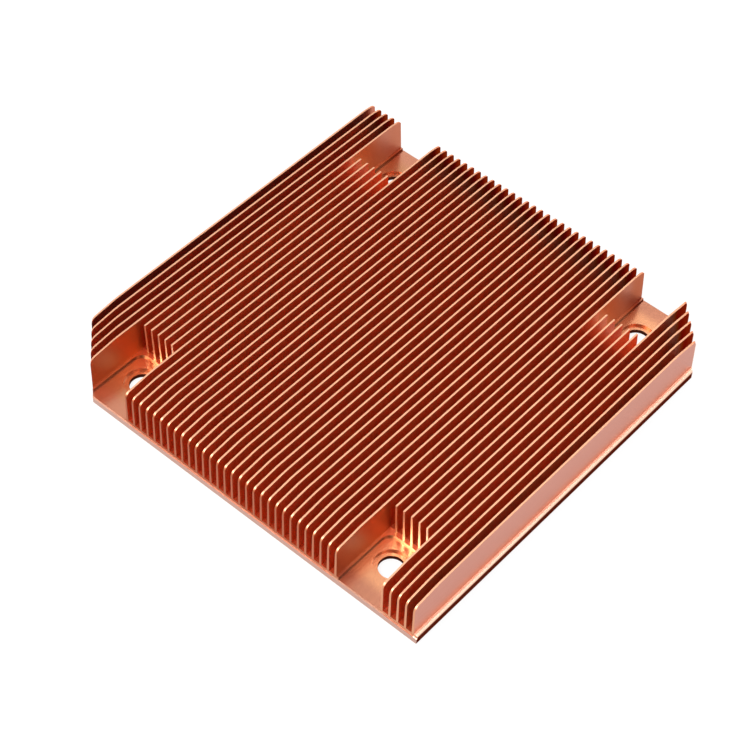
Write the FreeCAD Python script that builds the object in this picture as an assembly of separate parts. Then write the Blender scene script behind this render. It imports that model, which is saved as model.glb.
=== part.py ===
"""Copper skived fin heat sink with four mounting pockets, in millimetres.

One bar of copper: a flat base whose upper skin was shaved up into thin upright fins.
Two opposite corners are cut off at 45 degrees, and the fins are milled away around
four screw holes.

X runs across the fins and Y along them, and Z is up from the flat underside.
The origin is the middle of the base's underside.
"""
import FreeCAD, Part
import math
import os

from FreeCAD import Vector

# Base
base_width = 89.3            # across the fins
base_length = 90.8           # along the fins
base_thickness = 2.0         # under the fins, between the underside and the fin roots
side_edge_radius = 0.5       # upper edge of the right side
bottom_edge_radius = 0.2     # lower edge of the two sides
corner_leg = 9.1             # of each of the two cut-off corners

# Fins: the first one stands flush with the left side of the base
fin_height = 7.5             # above the fin roots
fin_pitch = 1.795
fin_root_thickness = 0.50
fin_tip_thickness = 0.36
fin_lean = 0.34              # how far the tip stands to the left of the root
side_ledge = 0.6             # least strip of base at the right of the last fin

# Ends of the fins and the base: the sloping end starts above a small chamfer
end_foot = 1.5               # height of the chamfer's upper edge
end_chamfer = 0.2

# Front fin ends: the top falls in a long slope, then steeply from shoulder to tip
front_setback = 0.53         # of the tip from the end of the base
front_crown_run = 6.5        # from the tip to where the top starts to fall
front_crown_radius = 15.0
front_shoulder_run = 0.4     # from the tip to the shoulder
front_shoulder_drop = 0.62   # of the shoulder below the top
front_shoulder_radius = 1.1
front_tip_drop = 1.5
front_tip_radius = 0.8

# Back fin ends: the same kind of end, but squarer
back_setback = 0.2
back_crown_run = 3.0
back_crown_radius = 10.0
back_shoulder_run = 1.0
back_shoulder_drop = 0.22
back_shoulder_radius = 1.5
back_tip_drop = 0.65
back_tip_radius = 0.5

# Pockets and screw holes
hole_spacing_x = 62.65
hole_spacing_y = 73.1
hole_diameter = 5.0
seat_diameter = 7.0          # round seat sunk in the pocket floor for the screw spring
seat_depth = 0.6
pocket_floor_thickness = 1.5
pocket_fins = 5              # fins milled away in each pocket
pocket_ledge = 0.5           # strip of base left beside the fins next to a pocket
pocket_end_room = 1.5        # from the seat to the inner end of the pocket floor
pocket_end_ledge = 0.7       # strip of base left between that end and the cut fins
pocket_corner_radius = 2.0   # the milling cutter's radius, left in the inner corners

# Aids
copper_density = 8.96e-6     # kg per cubic millimetre
overshoot = 2.0              # how far a cutting shape stands out past the metal

# Worked out from the sizes above
top = base_thickness + fin_height
half_width = base_width / 2
half_length = base_length / 2
fin_count = int((base_width - fin_root_thickness - side_ledge) / fin_pitch) + 1
hole_x = hole_spacing_x / 2
hole_y = hole_spacing_y / 2
pocket_length = half_length - hole_y + seat_diameter / 2 + pocket_end_room
pocket_width = (pocket_fins + 1) * fin_pitch - fin_root_thickness - 2 * pocket_ledge

# Corners of the falling tops, from the tip inwards: run from the tip, drop and radius
front_fall = [
    (0, front_tip_drop, front_tip_radius),
    (front_shoulder_run, front_shoulder_drop, front_shoulder_radius),
    (front_crown_run, 0, front_crown_radius),
]
back_fall = [
    (0, back_tip_drop, back_tip_radius),
    (back_shoulder_run, back_shoulder_drop, back_shoulder_radius),
    (back_crown_run, 0, back_crown_radius),
]


def fin_root_x(number):
    """Middle of a fin's root, where the fins are numbered from 0 at the left side."""
    return -half_width + fin_root_thickness / 2 + number * fin_pitch


def rounded_outline(corners):
    """Closed wire through (point, radius) corners, with a tangent arc at each radius."""
    bends = []
    for index, (point, radius) in enumerate(corners):
        before = corners[index - 1][0]
        after = corners[(index + 1) % len(corners)][0]
        if radius == 0:
            bends.append((point, None, point))
            continue
        back = (before - point).normalize()
        ahead = (after - point).normalize()
        half_angle = back.getAngle(ahead) / 2
        reach = radius / math.tan(half_angle)
        middle = (back + ahead).normalize() * (radius / math.sin(half_angle) - radius)
        bends.append((point + back * reach, point + middle, point + ahead * reach))
    edges = []
    for index, (start, middle, end) in enumerate(bends):
        if middle is not None:
            edges.append(Part.Arc(start, middle, end).toShape())
        following = bends[(index + 1) % len(bends)][0]
        # an arc may run up to the next corner and leave no straight between
        if not end.isEqual(following, 1e-6):
            edges.append(Part.LineSegment(end, following).toShape())
    return Part.Wire(edges)


def comb_block():
    """Base and fins as one section across the fins, drawn out along them."""
    root_half = fin_root_thickness / 2
    tip_half = fin_tip_thickness / 2
    corners = [
        (Vector(half_width, 0, 0), bottom_edge_radius),
        (Vector(-half_width, 0, 0), bottom_edge_radius),
    ]
    for number in range(fin_count):
        root = fin_root_x(number)
        tip = root - fin_lean
        corners += [
            (Vector(root - root_half, 0, base_thickness), 0),
            (Vector(tip - tip_half, 0, top), 0),
            (Vector(tip + tip_half, 0, top), 0),
            (Vector(root + root_half, 0, base_thickness), 0),
        ]
    corners.append((Vector(half_width, 0, base_thickness), side_edge_radius))
    section = Part.Face(rounded_outline(corners))
    section.translate(Vector(0, -half_length, 0))
    return section.extrude(Vector(0, base_length, 0))


def end_waste(foot, fall, setback, outward):
    """What is missing past a fin's end, drawn in the YZ plane with the end at y = 0.

    foot lists the (y, z) points where the end starts, fall the corners of the top,
    setback is how far the tip stands in from y = 0, and outward is how far the waste
    reaches past the end.
    """
    corners = [(Vector(0, y, z), 0) for y, z in foot]
    corners += [(Vector(0, setback + run, top - drop), radius) for run, drop, radius in fall]
    shoulder = corners[-2][0]
    crown, crown_radius = corners[-1]
    slope = (crown - shoulder).getAngle(Vector(0, 1, 0))
    level_start = crown.y + crown_radius * math.tan(slope / 2)
    corners += [
        (Vector(0, level_start, top), 0),
        (Vector(0, level_start, top + overshoot), 0),
        (Vector(0, -outward, top + overshoot), 0),
        (Vector(0, -outward, foot[0][1]), 0),
    ]
    return Part.Face(rounded_outline(corners))


def front_ends_waste(fall, setback):
    """Trims all the fins and the base's upper edge at the front."""
    foot = [(0, end_foot - end_chamfer), (end_chamfer, end_foot)]
    waste = end_waste(foot, fall, setback, overshoot)
    margin = fin_lean + overshoot
    waste.translate(Vector(-half_width - margin, -half_length, 0))
    return waste.extrude(Vector(base_width + 2 * margin, 0, 0))


def front_corner_waste():
    """Cuts off the left front corner, and rounds the fins' ends along the cut."""
    run = corner_leg + 2 * overshoot
    waste = end_waste([(0, -overshoot)], front_fall, 0, run)
    waste.translate(Vector(-half_width - overshoot, -half_length + corner_leg + overshoot, 0))
    return waste.extrude(Vector(run, -run, 0))


def front_pocket_waste(centre_x):
    """The fins milled away in one front pocket, with the deeper floor under them."""
    left = centre_x - pocket_width / 2
    front = -half_length - overshoot
    floor_end = -half_length + pocket_length
    fins = Part.makeBox(
        pocket_width,
        floor_end + pocket_end_ledge - front,
        fin_height + overshoot,
        Vector(left, front, base_thickness),
    )
    outline = [
        (Vector(left, front, pocket_floor_thickness), 0),
        (Vector(left + pocket_width, front, pocket_floor_thickness), 0),
        (Vector(left + pocket_width, floor_end, pocket_floor_thickness), pocket_corner_radius),
        (Vector(left, floor_end, pocket_floor_thickness), pocket_corner_radius),
    ]
    depth = base_thickness - pocket_floor_thickness
    floor = Part.Face(rounded_outline(outline)).extrude(Vector(0, 0, depth))
    return fins.fuse(floor)


def screw_hole_waste(x, y):
    """A through hole with the round seat above it."""
    hole = Part.makeCylinder(hole_diameter / 2, top, Vector(x, y, -overshoot))
    seat = Part.makeCylinder(seat_diameter / 2, top, Vector(x, y, pocket_floor_thickness - seat_depth))
    return hole.fuse(seat)


def other_end(shape):
    """The same shape at the back end of the fins."""
    return shape.mirror(Vector(0, 0, 0), Vector(0, 1, 0))


def other_corner(shape):
    """The same shape at the corner diagonally across."""
    turned = shape.copy()
    turned.rotate(Vector(0, 0, 0), Vector(0, 0, 1), 180)
    return turned


def heat_sink():
    """The whole piece: the comb-shaped block less all that is cut from it."""
    corner = front_corner_waste()
    waste = [
        front_ends_waste(front_fall, front_setback),
        other_end(front_ends_waste(back_fall, back_setback)),
        corner,
        other_corner(corner),
    ]
    for side in (-1, 1):
        # each pocket is centred on the fin that stands nearest to the hole
        number = round((side * hole_x - fin_root_x(0)) / fin_pitch)
        pocket = front_pocket_waste(fin_root_x(number))
        waste += [pocket, other_end(pocket)]
        waste += [screw_hole_waste(side * hole_x, y) for y in (-hole_y, hole_y)]
    return comb_block().cut(waste)


os.makedirs("parts", exist_ok=True)
piece = heat_sink()
piece.exportStep("parts/heat_sink.step")
print("fins", fin_count, "solids", len(piece.Solids), "valid", piece.isValid())
print("box", piece.BoundBox)
print("volume mm3", round(piece.Volume, 1), "copper kg", round(piece.Volume * copper_density, 4))
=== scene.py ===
import bpy
from mathutils import Matrix, Vector

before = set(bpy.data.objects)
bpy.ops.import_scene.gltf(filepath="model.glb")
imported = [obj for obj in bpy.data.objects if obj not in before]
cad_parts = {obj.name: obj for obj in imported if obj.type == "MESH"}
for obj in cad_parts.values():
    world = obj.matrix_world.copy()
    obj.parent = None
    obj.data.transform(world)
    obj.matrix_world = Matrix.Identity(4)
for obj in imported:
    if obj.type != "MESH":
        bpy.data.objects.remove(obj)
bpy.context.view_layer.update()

scene = bpy.context.scene

# The camera stands off the right front corner and looks down at the fins at about
# fifty degrees, with a long lens, as for a catalogue picture of a small part.
camera_data = bpy.data.cameras.new("catalogue_camera")
camera = bpy.data.objects.new("catalogue_camera", camera_data)
scene.collection.objects.link(camera)
right = Vector((0.75207, 0.65845, 0.02878)).normalized()
look = Vector((-0.40863, 0.50010, -0.76349)).normalized()
up = right.cross(look).normalized()
turn = Matrix((right, up, -look)).transposed().to_4x4()
camera.matrix_world = Matrix.Translation((0.162293, -0.203764, 0.304394)) @ turn
half_pixel = 0.5 / 750
camera_data.lens = 99.79
camera_data.sensor_width = 36.0
camera_data.shift_x = -half_pixel
camera_data.shift_y = half_pixel
camera_data.clip_start = 0.02
camera_data.dof.use_dof = False
scene.camera = camera

# The heat sink is one bar of bare copper. Its fins were shaved up with a wide blade,
# its pockets and corners were milled, and nothing was painted or plated afterwards.
heat_sink = bpy.data.objects["heat_sink"]
copper = bpy.data.materials.new("bare_copper")
copper.use_nodes = True
nodes = copper.node_tree.nodes
links = copper.node_tree.links
nodes.clear()


def put(item, place):
    """Links a socket to an input, or writes a number or a colour into it."""
    if isinstance(item, tuple):
        place.default_value = (*item, 1.0)
    elif isinstance(item, float):
        place.default_value = item
    else:
        links.new(item, place)


def value(operation, *items):
    """The result of one sum on sockets or numbers."""
    made = nodes.new("ShaderNodeMath")
    made.operation = operation
    for item, place in zip(items, made.inputs):
        put(item, place)
    return made.outputs[0]


def both_ways(item):
    """A socket without its sign, for what is alike on the two sides of zero."""
    return value("ABSOLUTE", item)


def in_all(first, *others):
    """The area that lies in all the given areas."""
    for other in others:
        first = value("MULTIPLY", first, other)
    return first


def in_any(first, *others):
    """The area that lies in any of the given areas."""
    for other in others:
        first = value("MAXIMUM", first, other)
    return first


def ramp(item, start, end, least=0.0, most=1.0):
    """A smooth step that goes from least to most as a socket goes from start to end."""
    made = nodes.new("ShaderNodeMapRange")
    made.interpolation_type = "SMOOTHSTEP"
    put(item, made.inputs["Value"])
    put(start, made.inputs["From Min"])
    put(end, made.inputs["From Max"])
    put(least, made.inputs["To Min"])
    put(most, made.inputs["To Max"])
    return made.outputs["Result"]


def blend(amount, first, second):
    """Two colours mixed by a socket, or two numbers where the second is written."""
    made = nodes.new("ShaderNodeMix")
    # the node keeps its two numbers in inputs 2 and 3, and its two colours in 6 and 7
    if isinstance(second, float):
        made.data_type = "FLOAT"
        pair, result = (2, 3), 0
    else:
        made.data_type = "RGBA"
        pair, result = (6, 7), 2
    put(amount, made.inputs["Factor"])
    for place, item in zip(pair, (first, second)):
        put(item, made.inputs[place])
    return made.outputs[result]


# Places on the copper are told by their millimetres in the heat sink's own frame and
# by the way the surface faces there.
millimetres = nodes.new("ShaderNodeVectorMath")
millimetres.operation = "SCALE"
links.new(nodes.new("ShaderNodeTexCoord").outputs["Object"], millimetres.inputs[0])
millimetres.inputs["Scale"].default_value = 1000.0
axes = nodes.new("ShaderNodeSeparateXYZ")
links.new(millimetres.outputs[0], axes.inputs[0])
across, along, height = axes.outputs
from_middle = both_ways(along)
facing = nodes.new("ShaderNodeSeparateXYZ")
links.new(nodes.new("ShaderNodeNewGeometry").outputs["Normal"], facing.inputs[0])
faces_right, faces_back, faces_up = facing.outputs
upward = ramp(faces_up, 0.35, 0.8)
not_upward = value("SUBTRACT", 1.0, upward)
sideways = ramp(both_ways(faces_right), 0.6, 0.9)
endways = ramp(both_ways(faces_back), 0.6, 0.95)


def grain(scale, detail, stretch=(1.0, 1.0, 1.0)):
    """Noise over the copper in millimetres, drawn out along the given axes."""
    pulled = nodes.new("ShaderNodeMapping")
    pulled.inputs["Scale"].default_value = stretch
    links.new(millimetres.outputs[0], pulled.inputs["Vector"])
    made = nodes.new("ShaderNodeTexNoise")
    put(scale, made.inputs["Scale"])
    put(detail, made.inputs["Detail"])
    put(0.6, made.inputs["Roughness"])
    links.new(pulled.outputs[0], made.inputs["Vector"])
    return made.outputs["Fac"]


speckle = grain(3.6, 2.0)
fine = grain(6.5, 1.0)
streaks = grain(1.1, 3.0, (1.0, 0.12, 1.6))

# The shaved faces of the fins keep a deep, warm copper with streaks along the cut and
# a fine dark grain; the deep red is partly painted shade from deep in the channels.
# Painted shade darkens them towards the left side and the back ends.
shaved_copper_and_shade = blend(ramp(streaks, 0.3, 0.7), (0.96, 0.29, 0.12), (1.0, 0.34, 0.15))
shaved_copper_and_shade = blend(ramp(speckle, 0.50, 0.42, most=0.8), shaved_copper_and_shade, (0.98, 0.14, 0.035))
shaved_copper_and_shade = blend(ramp(speckle, 0.52, 0.60, most=0.8), shaved_copper_and_shade, (1.0, 0.40, 0.16))
shaved_copper_and_shade = blend(ramp(fine, 0.46, 0.38, most=0.6), shaved_copper_and_shade, (0.55, 0.17, 0.045))
half_length = 45.4
corner_cut = 80.95           # along and across together, on the cut-off back corner
to_back_edge = value("SUBTRACT", half_length, along)
to_corner_cut = value("SUBTRACT", corner_cut, value("ADD", across, along))
to_back = value("MINIMUM", to_back_edge, to_corner_cut)
# painted shade, deeper towards the back and at the left side
shade = in_any(ramp(along, 5.0, 42.0, most=0.18), ramp(across, -36.0, -38.5, most=0.4))
shaved_copper_and_shade = blend(in_all(shade, sideways), shaved_copper_and_shade, (0.60, 0.06, 0.03))
# Close to the back ends the fin faces are painted nearly black, as painted shade.
inside_last_fin = ramp(across, 43.0, 42.9)
back_end_shade = in_all(ramp(to_back, 8.0, 2.0, most=0.95), sideways, inside_last_fin)
shaved_copper_and_shade = blend(back_end_shade, shaved_copper_and_shade, (0.20, 0.035, 0.010))

# The floors of the channels between the fins are painted darkest of all, as painted
# shade deep between the fins.
base_top = 2.0
on_base = ramp(height, base_top + 0.3, base_top + 0.1)
channel_floor_shade = in_all(upward, on_base, ramp(across, 43.8, 43.7))
colour = blend(channel_floor_shade, shaved_copper_and_shade, (0.36, 0.08, 0.03))
gloss = value("ADD", 0.3, value("MULTIPLY", speckle, 0.2))

# The fins' crowns and the strip of base at the right side are painted bright and pale,
# as a painted highlight, and are rougher.
crown_painted_highlight = in_all(upward, ramp(height, 7.4, 8.6), ramp(to_back, 0.2, 2.5, least=0.3))
strip_painted_highlight = in_all(ramp(faces_up, 0.1, 0.5), ramp(across, 43.7, 43.8), on_base)
colour = blend(crown_painted_highlight, colour, (0.66, 0.345, 0.21))
colour = blend(strip_painted_highlight, colour, (0.97, 0.64, 0.48))
gloss = blend(in_any(crown_painted_highlight, strip_painted_highlight), gloss, 0.5)

# The milled pocket floors are the smoothest and mirror the cut fins that stand over
# them. A low step runs around each floor, with a painted highlight on the side that
# faces left and painted shade on the side that faces right.
half_pocket_gap = 31.41      # from the middle of a pocket to halfway between two


def from_pair(left_of_middle):
    """Distance across from the nearer of two lines, one at each of a pair of pockets.

    Halfway between the two lines is left_of_middle to the left of the heat sink's middle.
    """
    off_halfway = both_ways(value("ADD", across, left_of_middle))
    return both_ways(value("SUBTRACT", off_halfway, half_pocket_gap))


past_pocket_end = ramp(from_middle, 30.5, 30.7)
from_pocket_middle = from_pair(0.42)
in_pocket = in_all(ramp(from_pocket_middle, 6.1, 5.95), past_pocket_end)
floor = in_all(upward, in_pocket, on_base)
milled = blend(ramp(across, -25.0, 25.0), (0.60, 0.25, 0.155), (0.41, 0.165, 0.10))
milled = blend(ramp(from_middle, 43.5, 40.5), milled, (0.58, 0.26, 0.135))
colour = blend(floor, colour, milled)
gloss = blend(floor, gloss, 0.24)
step = in_all(in_pocket, not_upward, ramp(height, base_top + 0.05, base_top - 0.02))
# painted highlight where the step faces left, painted shade where it faces right
step_highlight_and_shade = blend(ramp(faces_right, 0.3, 0.8), (0.95, 0.62, 0.42), (0.24, 0.08, 0.04))
colour = blend(step, colour, step_highlight_and_shade)

# The pockets' left walls are fins that the cutter brushed. Their colour is painted
# shade and reflection: they redden towards the inner end, and in the back pockets they
# are pinker at the outer end.
from_wall_fin = from_pair(5.82)
above_base = ramp(height, base_top, base_top + 0.1)
wall = in_all(ramp(from_wall_fin, 0.65, 0.55), past_pocket_end)
wall = in_all(wall, ramp(faces_right, 0.6, 0.9), above_base)
wall_shade_and_reflection = blend(ramp(along, -5.0, 5.0), (0.50, 0.14, 0.05), (0.58, 0.23, 0.15))
wall_shade_and_reflection = blend(ramp(from_middle, 41.0, 32.0), wall_shade_and_reflection, (0.76, 0.22, 0.065))
colour = blend(wall, colour, wall_shade_and_reflection)
gloss = blend(wall, gloss, 0.42)

# The holes were drilled through, below a turned spring seat, and are painted dark
# inside as painted shade.
hole_across, hole_along = 31.325, 36.55
hole_radius, seat_radius = 2.5, 3.5
off_across = value("SUBTRACT", both_ways(across), hole_across)
off_along = value("SUBTRACT", from_middle, hole_along)
squares = value("ADD", value("POWER", off_across, 2.0), value("POWER", off_along, 2.0))
from_hole = value("SQRT", squares)
near_seat = ramp(from_hole, seat_radius + 0.1, seat_radius + 0.05)
seat_wall = in_all(near_seat, not_upward, ramp(height, 1.6, 1.5))
colour = blend(seat_wall, colour, (0.50, 0.20, 0.12))
gloss = blend(seat_wall, gloss, 0.35)
near_bore = ramp(from_hole, hole_radius + 0.1, hole_radius + 0.05)
bore = in_all(near_bore, not_upward, ramp(height, 0.95, 0.85))
# painted shade: the bores are painted nearly black
colour = blend(bore, colour, (0.07, 0.02, 0.012))
gloss = blend(bore, gloss, 0.7)

# The outer faces of the first and the last fin are pink and smooth. The sides of the
# base under them are dull, and are painted dark as painted shade.
outer = in_all(sideways, in_any(ramp(across, 42.9, 43.0), ramp(across, -44.2, -44.3)))
colour = blend(in_all(outer, above_base), colour, (0.57, 0.22, 0.155))
gloss = blend(outer, gloss, 0.3)
base_sides_painted_dark = in_all(sideways, ramp(height, 1.85, 1.6), ramp(both_ways(across), 44.0, 44.3))
colour = blend(base_sides_painted_dark, colour, (0.13, 0.04, 0.02))
gloss = blend(base_sides_painted_dark, gloss, 0.45)

# The fins' outer ends are red at the left and salmon coloured at the right, over a
# base end of dull pink. A pale painted highlight runs across the ends that stand over
# the pockets, at the height of the base top.
fin_end = blend(ramp(across, 10.0, 40.0), (0.44, 0.13, 0.06), (0.68, 0.31, 0.17))
end_colour = blend(ramp(height, 1.45, 1.55), (0.56, 0.335, 0.27), fin_end)
square_end = in_all(endways, ramp(from_middle, 43.0, 44.0))
to_corners = both_ways(value("ADD", across, along))
on_corner_cut = ramp(to_corners, corner_cut - 0.25, corner_cut - 0.05)
cut_end = in_any(square_end, in_all(not_upward, on_corner_cut))
colour = blend(cut_end, colour, end_colour)
over_pocket = ramp(from_middle, 31.2, 31.0)
inner_end_highlight = in_all(endways, over_pocket, ramp(height, base_top - 0.05, base_top + 0.05))
colour = blend(inner_end_highlight, colour, (0.98, 0.82, 0.62))
gloss = blend(in_any(cut_end, inner_end_highlight), gloss, 0.4)

# The grain stands up a little from the copper, and least on the milled floors. The
# places painted dark as shade keep the copper's red where they are seen at a low angle.
ripple = nodes.new("ShaderNodeBump")
put(blend(floor, 0.7, 0.15), ripple.inputs["Strength"])
put(0.00004, ripple.inputs["Distance"])
put(value("ADD", speckle, value("MULTIPLY", streaks, 1.2)), ripple.inputs["Height"])
painted_shade_places = in_any(base_sides_painted_dark, bore, back_end_shade)
metal = nodes.new("ShaderNodeBsdfPrincipled")
put(1.0, metal.inputs["Metallic"])
put(colour, metal.inputs["Base Color"])
put(gloss, metal.inputs["Roughness"])
put(blend(painted_shade_places, (1.0, 1.0, 1.0), (0.4, 0.10, 0.04)), metal.inputs["Specular Tint"])
put(ripple.outputs[0], metal.inputs["Normal"])
finish = nodes.new("ShaderNodeOutputMaterial")
links.new(metal.outputs[0], finish.inputs["Surface"])
for slot in heat_sink.material_slots:
    slot.material = copper

# The heat sink stands on a plain white sweep, which shows as white behind it and
# keeps its soft shadow.
bpy.ops.mesh.primitive_plane_add(size=6.0, location=(0.0, 0.0, -0.00003))
sweep = bpy.context.object
sweep.name = "sweep"
paper = bpy.data.materials.new("white_paper")
paper.use_nodes = True
tree = paper.node_tree
tree.nodes.clear()
diffuse = tree.nodes.new("ShaderNodeBsdfDiffuse")
diffuse.inputs["Color"].default_value = (0.92, 0.92, 0.92, 1.0)
white = tree.nodes.new("ShaderNodeEmission")
white.inputs["Strength"].default_value = 1.0
rays = tree.nodes.new("ShaderNodeLightPath")
seen = rays.outputs["Is Camera Ray"]
for kind in ("Is Glossy Ray", "Is Transmission Ray"):
    more = tree.nodes.new("ShaderNodeMath")
    more.operation = "MAXIMUM"
    tree.links.new(seen, more.inputs[0])
    tree.links.new(rays.outputs[kind], more.inputs[1])
    seen = more.outputs[0]
share = tree.nodes.new("ShaderNodeMath")
share.operation = "MULTIPLY"
share.inputs[1].default_value = 0.85
tree.links.new(seen, share.inputs[0])
mixed = tree.nodes.new("ShaderNodeMixShader")
tree.links.new(share.outputs[0], mixed.inputs["Fac"])
tree.links.new(diffuse.outputs[0], mixed.inputs[1])
tree.links.new(white.outputs[0], mixed.inputs[2])
ending = tree.nodes.new("ShaderNodeOutputMaterial")
tree.links.new(mixed.outputs[0], ending.inputs["Surface"])
sweep.data.materials.append(paper)

# The studio light is soft: an even pale room that is a little dimmer on the right, a
# weak box lamp behind the fins and stronger ones at the front left and far right.
world = bpy.data.worlds.new("pale_room")
scene.world = world
world.use_nodes = True
room = world.node_tree
direction = room.nodes.new("ShaderNodeSeparateXYZ")
room.links.new(room.nodes.new("ShaderNodeTexCoord").outputs["Generated"], direction.inputs[0])
dimming = room.nodes.new("ShaderNodeMapRange")
dimming.interpolation_type = "SMOOTHSTEP"
dimming.inputs["From Min"].default_value = -0.45
dimming.inputs["From Max"].default_value = 0.45
dimming.inputs["To Min"].default_value = 1.05
dimming.inputs["To Max"].default_value = 0.9
room.links.new(direction.outputs["X"], dimming.inputs["Value"])
background = room.nodes["Background"]
background.inputs["Color"].default_value = (1.0, 1.0, 1.0, 1.0)
room.links.new(dimming.outputs[0], background.inputs["Strength"])


def soft_box(name, position, wide, tall, power):
    """A rectangular studio lamp that faces the heat sink."""
    lamp_data = bpy.data.lights.new(name, "AREA")
    lamp_data.shape = "RECTANGLE"
    lamp_data.size = wide
    lamp_data.size_y = tall
    lamp_data.energy = power
    lamp = bpy.data.objects.new(name, lamp_data)
    scene.collection.objects.link(lamp)
    lamp.location = position
    lamp.rotation_euler = (-Vector(position)).to_track_quat("-Z", "Y").to_euler()


soft_box("back_box", (-0.03, 0.5, 0.9), 0.5, 0.4, 2.2)
soft_box("front_box", (-0.35, -0.6, 0.84), 0.5, 0.5, 12.0)
soft_box("right_box", (1.4, -0.2, 1.5), 0.8, 0.8, 14.0)

scene.view_settings.view_transform = "Standard"
